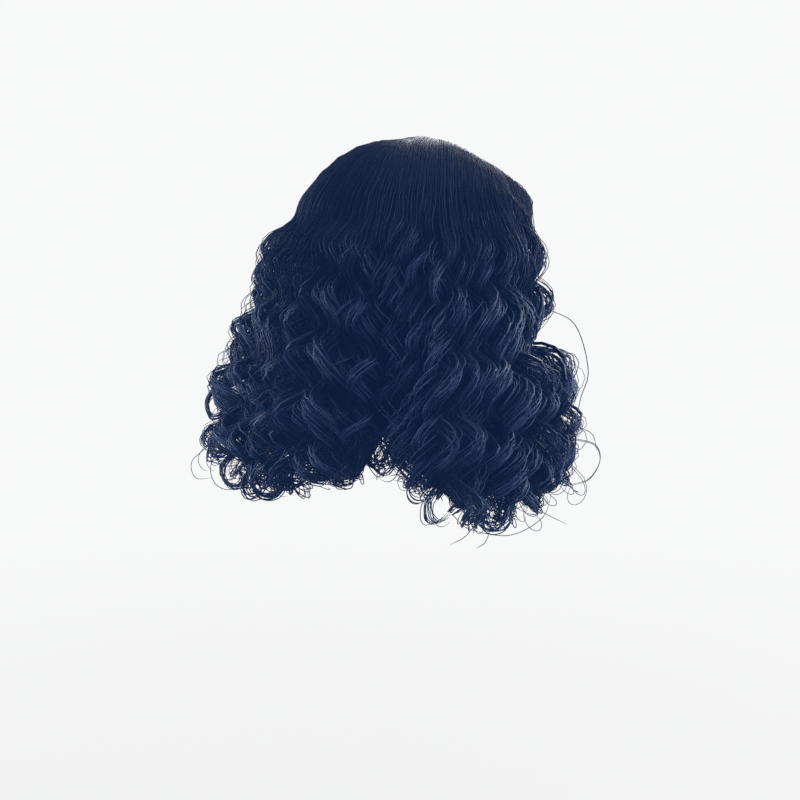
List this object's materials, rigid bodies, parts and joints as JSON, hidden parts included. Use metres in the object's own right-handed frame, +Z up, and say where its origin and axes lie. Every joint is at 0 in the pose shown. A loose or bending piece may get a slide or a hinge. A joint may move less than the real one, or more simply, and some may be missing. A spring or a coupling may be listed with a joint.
{
  "type": "short curly lace front wig",
  "caption": "Short curly wig on a hollow stretch cap with a sheer lace front and parting; wavy hair falls in sections to curled ends.",
  "frame": {"origin": "crown seat: the highest point inside the cap, where the top of a head meets it", "axes": "+Z up through the crown, -Y the way the face looks, +X the wearer's left"},
  "size_m": [0.3106, 0.2968, 0.3349],
  "materials": {
    "hair": "soft gloss fibre, blue black",
    "cap_net": "matt stretch net",
    "lace": "sheer fine net"
  },
  "bodies": {
    "root": {"cap": "cap_net", "lace_front": "lace", "hair_right": "hair", "hair_back": "hair", "hair_left": "hair"}
  },
  "joints": []
}
